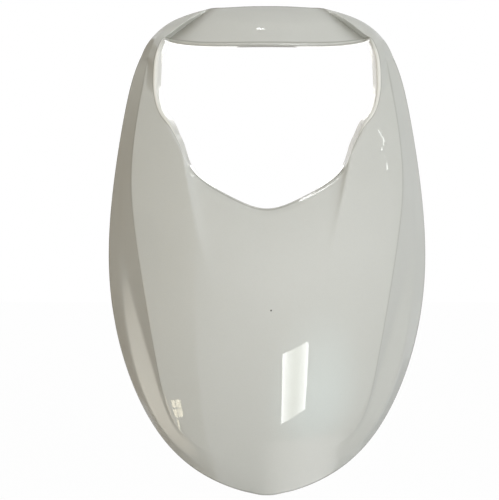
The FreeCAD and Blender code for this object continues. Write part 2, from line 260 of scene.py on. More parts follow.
def side_lines(u):
    """Where the side bends: shares of its breadth outside the crease, and shares of its drop."""
    ledge, step = ledge_share(u), step_share(u)
    lines = [(0.0 * u, 0.0 * u)]
    shares = ((step, step), (1.0, (1 + step) / 2))
    for plain, ledged, drop, (near, high) in zip(PLAIN_LINES, LEDGE_LINES, LEDGE_DROPS, shares):
        lines.append((plain + (ledged * near - plain) * ledge, plain + (drop * high - plain) * ledge))
    return lines + [(1.0, 1.0)]


def side_drop(u, share):
    """Extra depth of the side: straight between bends on the flanks, a curve at chin and brow."""
    lines, blends = side_lines(u), (CREASE_BLEND, VALLEY_BLEND, VALLEY_BLEND)
    straight, slope = 0.0, 0.0
    for (place, value), (end, depth), blend in zip(lines, lines[1:], blends):
        following = (depth - value) / (end - place)
        straight = straight + (following - slope) * ramp(share - place, blend)
        slope = following
    soft = soft_share(u)
    return SIDE_DROP * drop_share(u) * (straight * (1 - soft) + np.maximum(share, 0) ** 2 * soft)


def between(u, share, first, second):
    """Plan of a point between two outlines, and the distance between them."""
    (ax, az), (bx, bz) = first(u), second(u)
    return ax + (bx - ax) * share, az + (bz - az) * share, np.hypot(bx - ax, bz - az)


def skin_depth(u, x, z, run, length, breadth):
    """Depth of the outer skin at a distance from the lip."""
    depth = face_depth(x, z) + pillar_relief(u, run, length + breadth)
    return depth + side_drop(u, (run - length) / breadth)


def face_points(u, share):
    """Outer skin between the lip (share 0) and the crease (share 1)."""
    x, z, length = between(u, share, lip, crease)
    breadth = between(u, share, crease, edge)[2]
    depth = skin_depth(u, x, z, share * length, length, breadth)
    depth = depth + tongue_relief(u, share) + lip_roll(u, share * length)
    return np.stack([x, depth, z], axis=-1)


def side_points(u, share):
    """Outer skin between the crease (share 0) and the free edge (share 1)."""
    x, z, breadth = between(u, share, crease, edge)
    length = between(u, share, lip, crease)[2]
    depth = skin_depth(u, x, z, length + share * breadth, length, breadth)
    return np.stack([x, depth, z], axis=-1)


middle = face_points(np.array([0.0]), np.array([0.5]))[0]
print("middle of the tongue", middle.round(1))

# %% [markdown]
# ## The wall
#
# A moulded panel has the same wall everywhere, so the inside is the outside moved through the wall
# square to the skin. A Solidify modifier could do that, but it makes no flange. So every column is drawn
# as one closed section. The lip turns round the inner corner of the wall and runs back as a flange with
# draft, as a tool needs to let go of it, and the free edge is rounded by half the wall. The columns are
# spaced evenly along the panel, so the net has no crowded places where a reflection would pucker.

# %% One closed section per column
COLUMNS, FACE_ROWS, BEND_ROWS, ARC_ROWS, RIM_ROWS, FLANGE_ROWS = 600, 52, 5, 6, 4, 3
FACE_CROWDING, BEND_MARGIN, TURN_SHARE, EASE_COLUMNS, FINE_STEPS = 1.7, 1.2, 0.5, 4, 40
BACK = np.array([0.0, 1.0, 0.0])


def even_columns(count):
    """Spoke places all round, as far apart along the panel as each other."""
    fine = np.linspace(-LAST, LAST, FINE_STEPS * COLUMNS + 1)
    pace = sum(np.hypot(np.diff(line.x(fine)), np.diff(line.z(fine))) for line in (lip, crease, edge))
    travelled = np.concatenate([[0.0], np.cumsum(pace)])
    return np.interp(np.linspace(0, travelled[-1], count, endpoint=False), travelled, fine)


def unit(vectors):
    return vectors / np.linalg.norm(vectors, axis=-1, keepdims=True)


def face_stations(u):
    """Shares across the face, crowded towards the lip, and stopped short of the crease's rounding."""
    length, breadth = between(u, 0.0, lip, crease)[2], between(u, 0.0, crease, edge)[2]
    even = np.linspace(0, 1, FACE_ROWS + 1) ** FACE_CROWDING
    return even * (1 - CREASE_BLEND / 2 * breadth / length)[:, None]


def side_stations(u):
    """Shares across the side, with as many rows round each bend as between two of them."""
    first, second = [place[:, None] for place, _ in side_lines(u)[1:3]]
    stop = 1 - WALL / 2 / between(u, 0.0, crease, edge)[2][:, None]
    half = VALLEY_BLEND / 2
    turned = 0.0 * first + CREASE_BLEND / 2
    turns = [0.0 * first, turned, np.maximum(first - half, BEND_MARGIN * turned), first + half,
             second - half, second + half, stop]
    steps = np.linspace(0, 1, BEND_ROWS + 1)[1:]
    rows = [low + (high - low) * steps for low, high in zip(turns, turns[1:])]
    return np.concatenate([turns[0]] + rows, axis=1)


def moved_inside(skin):
    """The skin moved through the wall, eased along the lip where it folds."""
    along = np.roll(skin, -1, axis=0) - np.roll(skin, 1, axis=0)
    through = unit(np.cross(along, np.gradient(skin, axis=1)))
    through *= np.sign(through[..., 1:2])
    eased = sum(np.roll(through[:, 0], k, axis=0) for k in range(-EASE_COLUMNS, EASE_COLUMNS + 1))
    through[:, 0] = unit(eased)
    return skin + through * WALL


def lip_rows(u, skin, corner):
    """The lip turned round the wall's inner corner, and the way the flange runs back."""
    turns = (TURN_SHARE, -TURN_SHARE)
    (ax, az), (bx, bz) = [lip((u + turn + LAST) % (2 * LAST) - LAST) for turn in turns]
    inward = unit(np.stack([bz - az, 0 * u, ax - bx], axis=-1))
    draft = np.radians(draft_angle(u))[:, None]
    flange = BACK * np.cos(draft) + inward * np.sin(draft)
    across = inward * np.cos(draft) - BACK * np.sin(draft)
    front = unit(skin - corner)
    angle = np.arccos(np.sum(front * across, axis=-1))[:, None, None]
    turn = np.linspace(0, 1, ARC_ROWS + 1)[None, :, None]
    arc = front[:, None] * np.sin((1 - turn) * angle) + across[:, None] * np.sin(turn * angle)
    return corner[:, None] + arc / np.sin(angle) * WALL, flange


def closed_wall(u):
    """The painted and the bare rows of every column, and the lines that the finishes keep to."""
    face = face_points(u[:, None], face_stations(u))
    side = side_points(u[:, None], side_stations(u))
    skin = np.concatenate([face, side], axis=1)
    inside = moved_inside(skin)
    arc, flange = lip_rows(u, skin[:, 0], inside[:, 0])
    reach = np.linspace(0, 1, FLANGE_ROWS + 1)[None, :, None] * FLANGE_DEPTH
    run = flange[:, None] * reach * flange_share(u)[:, None, None]
    flange_back = inside[:, :1] + run
    middle, half = (skin[:, -1] + inside[:, -1]) / 2, (skin[:, -1] - inside[:, -1]) / 2
    outward = unit(skin[:, -1] - skin[:, -2]) * WALL / 2
    turn = np.linspace(0, math.pi, RIM_ROWS + 1)[1:-1, None]
    rim = middle[:, None] + half[:, None] * np.cos(turn) + outward[:, None] * np.sin(turn)
    painted = np.concatenate([(arc[:, -1:] + run)[:, :0:-1], arc[:, :0:-1], skin, rim], axis=1)
    bare = np.concatenate([inside[:, :0:-2], flange_back], axis=1)
    lines = {"lip": skin[:, :1], "crease": side[:, :1], "edge": skin[:, -1:], "end": flange_back[:, -1:]}
    return painted, bare, lines


places = even_columns(COLUMNS)
front, behind, net_lines = closed_wall(places)
sections = np.concatenate([front, behind], axis=1)
painted_rows = np.arange(sections.shape[1]) < front.shape[1]
print("sections", sections.shape)

# %% [markdown]
# ### Where the finishes and the painted light lie
#
# A finish follows the form. Paint mist drifts round the free edge and the end of the flange onto the back,
# and on the paint both are darkened as painted shade. Painted shade also darkens the groove at the ends of
# the brow, the lip, the sharp part of the crease, and the turned lip at the foot of the opening and under
# the brow. The turned lip of the pillars gets a painted highlight.
#
# Such places could be painted on the mesh by hand. Here each is a share from 0 to 1 that follows from the
# distance to a line of the net, so it moves with the form.

# %% Shares for the finishes and the painted light
# How far paint mist and the painted edge shade reach, and the shape of the painted shade lines and of the
# painted lip highlight.
MIST_AND_SHADE_REACH, LINE_REACH, LINE_CORE = 9.0, 1.3, 1.3
CREASE_SHADE, LIP_HIGHLIGHT_LOSS, CRISP_FOOT = 0.5, 0.4, 4.8
GROOVE_TAIL, GROOVE_FADE, LIP_HIGHLIGHT_BLEND = 0.5, 1.2, 0.5
LIP_HIGHLIGHT_SPOKES = [(2.0, 0.0), (3.0, 0.7), (5.5, 0.8), (7.5, 1.0), (10.5, 1.0), (13.0, 0.1)]


def gap(rows, line):
    """Distance of every point from its own column's point on a line."""
    return np.linalg.norm(rows - line, axis=-1)


def shade_line(rows, line):
    """A thin line of painted shade: full beside the line, and gone a little further on."""
    return np.clip(LINE_CORE - gap(rows, line) / LINE_REACH, 0, 1)


def mist_shade_and_highlight(u, rows, painted, lines):
    """Shares of paint mist and painted edge shade, of a painted highlight on the turned lip and of painted
    shade, for every point of the net.
    """
    place = np.abs(u)[:, None]
    folded = np.clip((FLANGE_ROWS + ARC_ROWS - np.arange(rows.shape[1])) / ARC_ROWS, 0, 1)
    outside = painted & (folded == 0)
    # Near the free edge and the flange end: paint mist on the back, and painted shade on the paint.
    mist_and_edge_shade = np.exp(-np.minimum(gap(rows, lines["edge"]), gap(rows, lines["end"])) / MIST_AND_SHADE_REACH)
    # A painted highlight on the turned lip of the pillars.
    lip_highlight_share = bent_line(place, LIP_HIGHLIGHT_SPOKES, LIP_HIGHLIGHT_BLEND)
    # Painted shade in the groove at the ends of the brow.
    fading = np.clip((BROW_SPOKES[0] + GROOVE_TAIL - place) / GROOVE_FADE, 0, 1)
    groove = np.where(place > GROOVE_SPOKES[1], fading, 0) ** 2 * outside
    # Painted shade along the lip, along the crease, and on the turned lip where it has no painted highlight.
    lip_shade_line = shade_line(rows, lines["lip"]) * (1 - LIP_HIGHLIGHT_LOSS * lip_highlight_share) * outside
    crisp = np.clip(place - CRISP_FOOT, 0, 1) * np.clip(RIM_SPOKES[1] - place, 0, 1)
    crease_shade_line = shade_line(rows, lines["crease"]) * CREASE_SHADE * crisp * outside
    painted_shade = np.max([groove, lip_shade_line, crease_shade_line, folded * (1 - lip_highlight_share)], axis=0)
    return {"mist_and_edge_shade": mist_and_edge_shade, "painted_lip_highlight": lip_highlight_share * (folded > 0), "painted_shade": painted_shade}


finish_and_light_shares = mist_shade_and_highlight(places, sections, painted_rows, net_lines)
print("finishes", {name: round(float(shares.mean()), 3) for name, shares in finish_and_light_shares.items()})

# %% [markdown]
# ## The mesh of the panel
#
# The net closes both ways, like a ring doughnut, so its faces are plain index arithmetic: no cap, no
# pole and no seam. Here the drawing moves to the frame and becomes metres. Two materials meet at the free
# edge and at the end of the flange, where a spray gun in front of the panel stops reaching.

# %% Build the panel's mesh
PAINT, PLASTIC = 0, 1


def ring_mesh(name, grid, row_materials):
    """A mesh from a grid of points that closes in both directions."""
    columns, rows = grid.shape[:2]
    index = np.arange(columns * rows).reshape(columns, rows)
    right, up = np.roll(index, -1, axis=0), np.roll(index, -1, axis=1)
    corner = np.roll(right, -1, axis=1)
    quads = np.stack([index, right, corner, up], axis=-1).reshape(-1, 4)
    mesh = bpy.data.meshes.new(name)
    mesh.from_pydata(grid.reshape(-1, 3).tolist(), [], quads.tolist())
    mesh.polygons.foreach_set("material_index", np.tile(row_materials, columns))
    return mesh


row_materials = np.where(painted_rows, PAINT, PLASTIC).astype(np.int32)
panel_mesh = ring_mesh("headlight_surround_panel", (sections - ORIGIN) * MM, row_materials)
print("panel mesh", len(panel_mesh.vertices), "points")

# %% [markdown]
# ## The screw posts
#
# Such panels are held from behind by screws into posts moulded on the back. One post is drawn with its
# blind hole and two gussets, and a small geometry-node tree sets it on the corners of the bolt pattern
# and grows its front end until it meets the wall, wherever the wall is.

# %% One post
POST_CHAMFER, POST_SIDES = 0.4, 32


def ring(mesh, radius, y):
    """Points round a circle square to the post."""
    return [mesh.verts.new((radius * math.cos(a), y, radius * math.sin(a)))
            for a in np.linspace(0, 2 * math.pi, POST_SIDES, endpoint=False)]


def post_mesh():
    """A post with a blind hole and gussets, its seat at y = 0 and its front a little further on."""
    mesh = bmesh.new()
    front = -(SCREW_DEPTH + GUSSET_WALL)
    outer, hole = POST_DIAMETER / 2, SCREW_HOLE / 2
    profile = [(outer, front), (outer, -POST_CHAMFER), (outer - POST_CHAMFER, 0), (hole, 0),
               (hole, -SCREW_DEPTH)]
    rings = [ring(mesh, radius, y) for radius, y in profile]
    for low, high in zip(rings, rings[1:]):
        for k in range(POST_SIDES):
            n = (k + 1) % POST_SIDES
            mesh.faces.new([low[k], low[n], high[n], high[k]])
    mesh.faces.new(rings[0])
    mesh.faces.new(rings[-1])
    half, reach = GUSSET_WALL / 2, outer + GUSSET_LENGTH
    for sign in (-1, 1):
        near = sign * (hole + half)
        plan = [(near, front), (sign * reach, front), (sign * outer, -GUSSET_WALL), (near, -GUSSET_WALL)]
        faces = [[mesh.verts.new((x, y, z)) for z, y in plan] for x in (-half, half)]
        mesh.faces.new(faces[0])
        mesh.faces.new(faces[1])
        for k in range(len(plan)):
            n = (k + 1) % len(plan)
            mesh.faces.new([faces[0][k], faces[0][n], faces[1][n], faces[1][k]])
    bmesh.ops.recalc_face_normals(mesh, faces=mesh.faces)
    bmesh.ops.scale(mesh, vec=(MM, MM, MM), verts=mesh.verts)
    data = bpy.data.meshes.new("screw_post")
    mesh.to_mesh(data)
    mesh.free()
    return data


post = bpy.data.objects.new("screw_post", post_mesh())
bpy.context.scene.collection.objects.link(post)
panel = bpy.data.objects.new("headlight_surround_panel", panel_mesh)
bpy.context.scene.collection.objects.link(panel)
print("post", len(post.data.vertices), "points")

# %% [markdown]
# ### Node sums written as sums
#
# Node trees are easier to read as formulas. A small class wraps one socket, so that plus, minus, times,
# over and less-than make the math node for it, from either side. Every other node comes from one method.

# %% Sockets as numbers
class Field:
    """A node socket that takes part in sums like a number."""

    def __init__(self, tree, socket=None):
        self.tree, self.socket = tree, socket

    def join(self, value, target):
        """Links a field to a socket, or sets the socket to a plain value."""
        if isinstance(value, Field):
            self.tree.links.new(value.socket, target)
        else:
            target.default_value = value

    def node(self, kind, output, settings=None, **inputs):
        """Any other node: its settings, its inputs by name, and the output that is wanted."""
        made = self.tree.nodes.new(kind)
        for name, value in (settings or {}).items():
            setattr(made, name, value)
        for name, value in inputs.items():
            self.join(value, made.inputs[name.replace("_", " ")])
        return Field(self.tree, made.outputs[output])

    def maths(self, operation, *values):
        """A math node on fields and plain numbers."""
        made = self.tree.nodes.new("ShaderNodeMath")
        made.operation = operation
        for value, target in zip(values, made.inputs):
            self.join(value, target)
        return Field(self.tree, made.outputs[0])

    def __add__(self, other):
        return self.maths("ADD", self, other)

    def __radd__(self, other):
        return self.maths("ADD", other, self)

    def __sub__(self, other):
        return self.maths("SUBTRACT", self, other)

    def __rsub__(self, other):
        return self.maths("SUBTRACT", other, self)

    def __mul__(self, other):
        return self.maths("MULTIPLY", self, other)

    def __rmul__(self, other):
        return self.maths("MULTIPLY", other, self)

    def __truediv__(self, other):
        return self.maths("DIVIDE", self, other)

    def __rtruediv__(self, other):
        return self.maths("DIVIDE", other, self)

    def __pow__(self, other):
        return self.maths("POWER", self, other)

    def __lt__(self, other):
        return self.maths("LESS_THAN", self, other)

    def __gt__(self, other):
        return self.maths("GREATER_THAN", self, other)

    def held(self):
        """The same number, kept between 0 and 1."""
        made = self.maths("ADD", self, 0.0)
        made.socket.node.use_clamp = True
        return made

    def parts(self):
        """The three parts of a vector."""
        split = self.node("ShaderNodeSeparateXYZ", "X", Vector=self).socket.node
        return [Field(self.tree, split.outputs[k]) for k in range(3)]

    def between(self, low, high):
        """A colour between two others, by this share."""
        made = self.tree.nodes.new("ShaderNodeMix")
        made.data_type = "RGBA"
        self.join(self, made.inputs["Factor"])
        for value, target in ((low, made.inputs[6]), (high, made.inputs[7])):
            self.join(value if isinstance(value, Field) else (*value, 1.0), target)
        return Field(self.tree, made.outputs[2])


print("sums ready")

# %% [markdown]
# ### The tree that sets the posts
#
# Four points of a grid stand for the bolt pattern. The post is instanced on them, made real, and every
# point of its front end is cast forward onto the back of the panel and sunk into the wall a little.

# %% Post tree
def post_tree(material):
    """The tree, and the identifiers of its inputs by name."""
    tree = bpy.data.node_groups.new("screw_posts", "GeometryNodeTree")
    sockets = {}
    for name, kind in (("Panel", "NodeSocketObject"), ("Post", "NodeSocketObject"),
                       ("Spacing", "NodeSocketFloat"), ("Rise", "NodeSocketFloat"),
                       ("Front", "NodeSocketFloat"), ("Sink", "NodeSocketFloat")):
        sockets[name] = tree.interface.new_socket(name, in_out="INPUT", socket_type=kind).identifier
    tree.interface.new_socket("Geometry", in_out="OUTPUT", socket_type="NodeSocketGeometry")
    start = Field(tree)
    inputs = tree.nodes.new("NodeGroupInput").outputs
    given = {name: Field(tree, inputs[name]) for name in sockets}
    grid = start.node("GeometryNodeMeshGrid", "Mesh", Size_X=given["Spacing"], Size_Y=given["Rise"],
                      Vertices_X=2, Vertices_Y=2)
    upright = start.node("GeometryNodeTransform", "Geometry", Geometry=grid, Rotation=(math.pi / 2, 0, 0))
    one = start.node("GeometryNodeObjectInfo", "Geometry", Object=given["Post"])
    wall = start.node("GeometryNodeObjectInfo", "Geometry", Object=given["Panel"])
    set_out = start.node("GeometryNodeInstanceOnPoints", "Instances", Points=upright, Instance=one)
    real = start.node("GeometryNodeRealizeInstances", "Geometry", Geometry=set_out)
    x, y, z = start.node("GeometryNodeInputPosition", "Position").parts()
    hit = start.node("GeometryNodeRaycast", "Hit Position", Target_Geometry=wall,
                     Ray_Direction=(0, -1, 0), Ray_Length=1.0).parts()
    sunk = start.node("ShaderNodeCombineXYZ", "Vector", X=x, Y=hit[1] - given["Sink"], Z=z)
    grown = start.node("GeometryNodeSetPosition", "Geometry", Geometry=real,
                       Selection=y < given["Front"], Position=sunk)
    coated = start.node("GeometryNodeSetMaterial", "Geometry", Geometry=grown, Material=material)
    start.join(coated, tree.nodes.new("NodeGroupOutput").inputs["Geometry"])
    return tree, sockets


plastic = bpy.data.materials.new("bare_plastic")
paint = bpy.data.materials.new("pearl_paint")
carrier = bpy.data.objects.new("screw_posts", bpy.data.meshes.new("screw_posts"))
bpy.context.scene.collection.objects.link(carrier)
tree, sockets = post_tree(plastic)
modifier = carrier.modifiers.new("posts", "NODES")
modifier.node_group = tree
for name, value in (("Panel", panel), ("Post", post), ("Spacing", POST_SPACING * MM),
                    ("Rise", POST_RISE * MM), ("Front", -SCREW_DEPTH * MM - GUSSET_WALL * MM / 2),
                    ("Sink", WALL * MM / 2)):
    modifier[sockets[name]] = value
graph = bpy.context.evaluated_depsgraph_get()
posts_mesh = bpy.data.meshes.new_from_object(carrier.evaluated_get(graph), depsgraph=graph)
carrier.modifiers.remove(modifier)
print("posts", len(posts_mesh.vertices), "points")

# %% [markdown]
# ### One moulding
#
# The posts and the panel are one moulding, so they become one mesh. A Boolean could melt them together,
# but the posts are closed and end inside the wall, so joining is enough. Corners stay sharp where two
# faces meet at more than a set angle, and everything else is shaded smooth. The shares for the finishes
# and for the painted shade and highlight are stored on the points.

# %% Join the moulding
SHARP = math.radians(40)


def joined(first, second, name):
    """Both meshes in one, the second with the plastic material."""
    mesh = bmesh.new()
    mesh.from_mesh(first)
    count = len(mesh.faces)
    mesh.from_mesh(second)
    mesh.faces.ensure_lookup_table()
    for face in mesh.faces[count:]:
        face.material_index = PLASTIC
    bmesh.ops.recalc_face_normals(mesh, faces=mesh.faces)
    for face in mesh.faces:
        face.smooth = True
    data = bpy.data.meshes.new(name)
    mesh.to_mesh(data)
    mesh.free()
    return data


surround_mesh = joined(panel_mesh, posts_mesh, "headlight_surround_visual")
surround_mesh.materials.append(paint)
surround_mesh.materials.append(plastic)
surround_mesh.set_sharp_from_angle(angle=SHARP)
for name, shares in finish_and_light_shares.items():
    values = np.zeros(len(surround_mesh.vertices), np.float32)
    values[:shares.size] = shares.ravel()
    surround_mesh.attributes.new(name, "FLOAT", "POINT").data.foreach_set("value", values)
surround = bpy.data.objects.new("headlight_surround_visual", surround_mesh)
bpy.context.scene.collection.objects.link(surround)
for helper in (panel, post, carrier):
    bpy.data.objects.remove(helper)
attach(surround, "root")
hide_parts("headlight_surround")
print("surround", len(surround_mesh.polygons), "faces")

# %% [markdown]
# ## Finishes
#
# The paint is a pearl white: a pale, slightly warm ground coat, fine mica flakes that lift the colour a
# little from place to place, and a clear coat that carries the sharp reflections. The ground coat is
# half rough, so a bright window also leaves a soft glow round its own sharp picture. The clear coat has
# the faint waviness that sprayed coats have. One small chip shows dark near the middle of the face. The
# stored shares say where painted shade darkens the paint, along the free edge, the lip, the crease and the
# groove at the brow's ends, and where the turned lip of the pillars gets a painted highlight.
#
# An image could be wrapped round the part. One tree of nodes on the object's own coordinates does it
# without seams, and the flakes stay on the part when it moves.

# %% Pearl paint
# The last colour of this line is painted shade along the free edge. The next line holds a painted highlight
# for the turned lip and painted shade for the groove, the lip and the crease.
GROUND, FLAKE, EDGE_SHADE_COLOR = (0.575, 0.582, 0.539), (0.62, 0.63, 0.595), (0.26, 0.25, 0.22)
LIP_HIGHLIGHT_COLOR, PAINTED_SHADE_COLOR = (0.88, 0.87, 0.81), (0.26, 0.25, 0.21)
CHIP_COLOR, CHIP_PLACE, CHIP_RADIUS = (0.06, 0.055, 0.05), (0.0041, -0.0445), 0.0009
FLAKES, CLOUDS, PEEL = 2600.0, 14.0, 420.0
EDGE_SHADE_START, EDGE_SHADE_GAIN = 0.84, 10.0
EDGE_SHADE_COVER, PAINTED_SHADE_COVER, LIP_HIGHLIGHT_COVER = 0.7, 0.7, 0.9
GROUND_ROUGH, FLAKE_ROUGH, CHIP_ROUGH = 0.3, 0.08, 0.4
PEEL_STRENGTH, PEEL_DEPTH, CHIP_DEPTH = 0.02, 0.0004, 2.0
COAT_ROUGH, COAT_INDEX = 0.02, 1.5


def surface(material):
    """The material's tree as a field, and its shader's inputs."""
    material.use_nodes = True
    shader = material.node_tree.nodes["Principled BSDF"]
    return Field(material.node_tree), shader.inputs


def noise(start, place, scale, detail=2.0):
    """Soft noise between 0 and 1."""
    return start.node("ShaderNodeTexNoise", "Fac", Vector=place, Scale=scale, Detail=detail)


def stored(start, name):
    """A share that is stored on the points of the mesh."""
    return start.node("ShaderNodeAttribute", "Fac", {"attribute_name": name})


def pearl(material):
    """Ground coat with flakes, painted shade and a painted lip highlight where the shares say so, a chip and
    a clear coat.
    """
    start, inputs = surface(material)
    place = start.node("ShaderNodeTexCoord", "Object")
    x, _, z = place.parts()
    flake = start.node("ShaderNodeTexVoronoi", "Color", Vector=place, Scale=FLAKES).parts()[0]
    coat = (flake * 0.5 + noise(start, place, CLOUDS) * 0.5).between(GROUND, FLAKE)
    # Painted shade along the free edge and the end of the flange.
    edge_shade = ((stored(start, "mist_and_edge_shade") - EDGE_SHADE_START) * EDGE_SHADE_GAIN).held()
    coat = (edge_shade * EDGE_SHADE_COVER).between(coat, EDGE_SHADE_COLOR)
    # Painted shade in the groove, along the lip and the crease, and on the turned lip.
    coat = (stored(start, "painted_shade") * PAINTED_SHADE_COVER).between(coat, PAINTED_SHADE_COLOR)
    # A painted highlight on the turned lip of the pillars.
    coat = (stored(start, "painted_lip_highlight") * LIP_HIGHLIGHT_COVER).between(coat, LIP_HIGHLIGHT_COLOR)
    ragged = (noise(start, place, 2 / CHIP_RADIUS) - 0.5) * CHIP_RADIUS
    away = ((x - CHIP_PLACE[0]) ** 2.0 + (z - CHIP_PLACE[1]) ** 2.0) ** 0.5
    chip = away + ragged < CHIP_RADIUS
    start.join(chip.between(coat, CHIP_COLOR), inputs["Base Color"])
    start.join(flake * FLAKE_ROUGH + GROUND_ROUGH + chip * CHIP_ROUGH, inputs["Roughness"])
    start.join(1.0 - chip, inputs["Coat Weight"])
    height = noise(start, place, PEEL, 1.0) - chip * CHIP_DEPTH
    start.join(start.node("ShaderNodeBump", "Normal", Height=height, Strength=PEEL_STRENGTH,
                          Distance=PEEL_DEPTH), inputs["Normal"])
    inputs["Coat Roughness"].default_value = COAT_ROUGH
    inputs["Coat IOR"].default_value = COAT_INDEX


pearl(paint)
print("pearl paint", len(paint.node_tree.nodes), "nodes")

# %% [markdown]
# ### Bare plastic
#
# The back is not painted. It keeps the dull grain of the tool, and paint mist has drifted round the free
# edge and the end of the flange. A second piece could carry the mist, but it has no thickness to speak
# of, so it is a change of colour and gloss where the stored share and some noise say so.

# %% Plastic of the back
PLASTIC_COLOR, PLASTIC_SHADE, MIST_COLOR = (0.60, 0.60, 0.575), (0.54, 0.54, 0.515), (0.6, 0.605, 0.56)
SHADES, GRAIN, DRIFT = 22.0, 1500.0, 160.0
DRIFT_SHARE, MIST_START, MIST_GAIN = 0.8, 0.75, 3.0
PLASTIC_ROUGH, GRAIN_ROUGH, MIST_GLOSS = 0.55, 0.1, 0.15
GRAIN_STRENGTH, GRAIN_DEPTH = 0.15, 0.0003


def bare_plastic(material):
    """Grained plastic under a drift of paint mist."""
    start, inputs = surface(material)
    place = start.node("ShaderNodeTexCoord", "Object")
    grain = noise(start, place, GRAIN)
    drift = noise(start, place, DRIFT, 4.0) * DRIFT_SHARE
    covered = ((stored(start, "mist_and_edge_shade") + drift - MIST_START) * MIST_GAIN).held()
    plain = noise(start, place, SHADES, 3.0).between(PLASTIC_COLOR, PLASTIC_SHADE)
    start.join(covered.between(plain, MIST_COLOR), inputs["Base Color"])
    start.join(PLASTIC_ROUGH + grain * GRAIN_ROUGH - covered * MIST_GLOSS, inputs["Roughness"])
    start.join(start.node("ShaderNodeBump", "Normal", Height=grain, Strength=GRAIN_STRENGTH,
                          Distance=GRAIN_DEPTH), inputs["Normal"])


bare_plastic(plastic)
print("bare plastic", len(plastic.node_tree.nodes), "nodes")

# %% [markdown]
# ## Camera
#
# The photograph looks straight at the panel from about a metre and a half away, and the panel stands a
# little right of the picture's middle. The camera could be turned for that, but then the outline would
# lean. So the lens is shifted. The camera comes before the lights, because its view rays say where the
# bright marks in the paint come from.

# %% Camera
PICTURE_WIDTH, PICTURE_HEIGHT = 499, 500
CAMERA_PLACE, SENSOR, LENS, SHIFT = (0, -1.615, 0.0167), 36, 110.8, -0.035

camera_data = bpy.data.cameras.new("camera")
camera = bpy.data.objects.new("camera", camera_data)
bpy.context.scene.collection.objects.link(camera)
camera.location = CAMERA_PLACE
camera.rotation_euler = (math.pi / 2, 0, 0)
camera_data.sensor_width = SENSOR
camera_data.lens = LENS
camera_data.shift_x = SHIFT
bpy.context.scene.camera = camera
bpy.context.scene.view_settings.view_transform = "Standard"
print("camera", CAMERA_PLACE, "lens", LENS)

# %% [markdown]
# ## Stage and light
#
# The floor and the room are white. The camera and mirror rays see the room as exactly white and the floor
# as nearly white, through the light path, while the light that falls on the panel stays at a plain level.
# A brighter room would do it too, but then the paint would lose its colour.

# %% Floor and room
X_AXIS, Y_AXIS, Z_AXIS = 0, 1, 2
FLOOR_Z, FLOOR_HALF, FLOOR_SEEN = cad_low.z - 0.002, 6.0, 0.98
FLOOR_COLOR, WHITE = (0.85, 0.85, 0.85), (1.0, 1.0, 1.0)
ROOM_LIGHT, CARD_ROUGH = 0.56, 0.9


def seen_white(tree, shader, output, share):
    """Lets camera and mirror rays see a shader partly as plain white."""
    start = Field(tree)
    path = start.node("ShaderNodeLightPath", "Is Camera Ray").socket.node
    seen = sum(Field(tree, path.outputs[name])
               for name in ("Is Camera Ray", "Is Glossy Ray", "Is Transmission Ray")).held()
    kind = "ShaderNodeBackground" if shader.bl_idname == "ShaderNodeBackground" else "ShaderNodeEmission"
    glow = start.node(kind, 0, Color=(*WHITE, 1.0), Strength=1.0)
    mixed = tree.nodes.new("ShaderNodeMixShader")
    for value, target in zip((seen * share, Field(tree, shader.outputs[0]), glow), mixed.inputs):
        start.join(value, target)
    start.join(Field(tree, mixed.outputs[0]), output.inputs["Surface"])


def flat(axis, level, first, second):
    """A rectangle square to one axis, between two spans of the other axes."""
    corners = [(first[0], second[0]), (first[1], second[0]), (first[1], second[1]), (first[0], second[1])]
    return [(*pair[:axis], level, *pair[axis:]) for pair in corners]


def card(name, faces, color, strength=None):
    """Flat stage faces, dull or glowing. Glowing ones are only seen in mirror reflections."""
    mesh = bpy.data.meshes.new(name)
    order = np.cumsum([0] + [len(face) for face in faces])
    mesh.from_pydata([point for face in faces for point in face], [],
                     [list(range(low, high)) for low, high in zip(order, order[1:])])
    material = bpy.data.materials.new(name)
    inputs = surface(material)[1]
    inputs["Roughness"].default_value = CARD_ROUGH
    inputs["Base Color"].default_value = (*color, 1.0)
    made = bpy.data.objects.new(name, mesh)
    if strength is not None:
        inputs["Base Color"].default_value = (0.0, 0.0, 0.0, 1.0)
        inputs["Emission Color"].default_value = (*color, 1.0)
        inputs["Emission Strength"].default_value = strength
        made.visible_diffuse = made.visible_shadow = False
    mesh.materials.append(material)
    made.visible_camera = False
    bpy.context.scene.collection.objects.link(made)
    return made


floor_span = (-FLOOR_HALF, FLOOR_HALF)
floor = card("floor", [flat(Z_AXIS, FLOOR_Z, floor_span, floor_span)], FLOOR_COLOR)
floor.visible_camera = True
floor.visible_glossy = False
floor_tree = floor.data.materials[0].node_tree
seen_white(floor_tree, floor_tree.nodes["Principled BSDF"], floor_tree.nodes["Material Output"], FLOOR_SEEN)

world = bpy.data.worlds.new("studio")
bpy.context.scene.world = world
world.use_nodes = True
room = world.node_tree.nodes["Background"]
room.inputs["Color"].default_value = (*WHITE, 1.0)
room.inputs["Strength"].default_value = ROOM_LIGHT
seen_white(world.node_tree, room, world.node_tree.nodes["World Output"], 1.0)
print("floor at", round(FLOOR_Z, 4))

# %% [markdown]
# ### The large lights
#
# The photograph is brighter from the right and warm and dim on the left. A large soft lamp stands on the
# right, and a warm dull card on the left and a grey one overhead keep the room's light from those sides.
#
# The turned lip, the sides and the lower edge mirror the room at a flat angle. So two bright cards stand
# behind the opening, one on each side of the middle, and dim ones stand on the right and behind.

